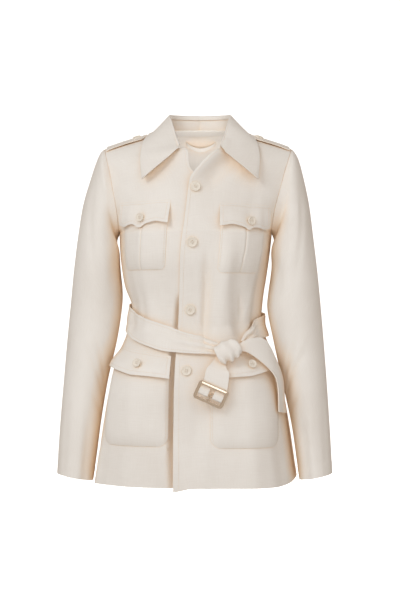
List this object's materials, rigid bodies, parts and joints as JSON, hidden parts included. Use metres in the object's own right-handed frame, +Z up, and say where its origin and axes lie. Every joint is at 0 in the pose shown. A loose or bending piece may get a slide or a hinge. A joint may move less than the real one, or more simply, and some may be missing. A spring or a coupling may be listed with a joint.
{
  "type": "belted field jacket",
  "caption": "Ivory cloth field jacket, hollow as worn, with shirt collar, shoulder straps, flapped patch pockets, buttoned front and a knotted belt with a metal buckle.",
  "frame": {"origin": "middle of the shoulder line at the level of the neck points, where a wearer's shoulders carry the jacket", "axes": "+Z up, -Y the way the front faces, +X towards the wearer's left"},
  "size_m": [0.5436, 0.316, 0.7378],
  "materials": {
    "cloth": "matte fine-woven ivory cotton",
    "button": "cream horn-effect resin, soft gloss",
    "buckle": "polished pale gold"
  },
  "bodies": {
    "jacket": {"front_left": "cloth", "front_right": "cloth", "back": "cloth", "sleeve_left": "cloth", "sleeve_right": "cloth", "collar_fall": "cloth", "collar_stand": "cloth", "chest_pocket_left": "cloth", "chest_pocket_right": "cloth", "chest_flap_left": "cloth", "chest_flap_right": "cloth", "hip_pocket_left": "cloth", "hip_pocket_right": "cloth", "hip_flap_left": "cloth", "hip_flap_right": "cloth", "epaulette_left": "cloth", "epaulette_right": "cloth", "belt_band": "cloth", "belt_knot": "cloth", "belt_tail_free": "cloth", "belt_tail_buckle": "cloth", "hanger_loop": "cloth", "front_button_1": "button", "front_button_2": "button", "front_button_3": "button", "front_button_4": "button", "chest_button_left": "button", "chest_button_right": "button", "hip_button_left": "button", "hip_button_right": "button", "epaulette_button_left": "button", "epaulette_button_right": "button", "buckle_frame": "buckle"},
    "prong": {"buckle_prong": "buckle"}
  },
  "joints": [
    {"name": "prong_swing", "type": "hinge", "parent": "jacket", "child": "prong", "pos_m": [0.02108, -0.16882, -0.52219], "axis": [-0.9135, 0, 0.4067], "range_deg": [0, 140]}
  ]
}
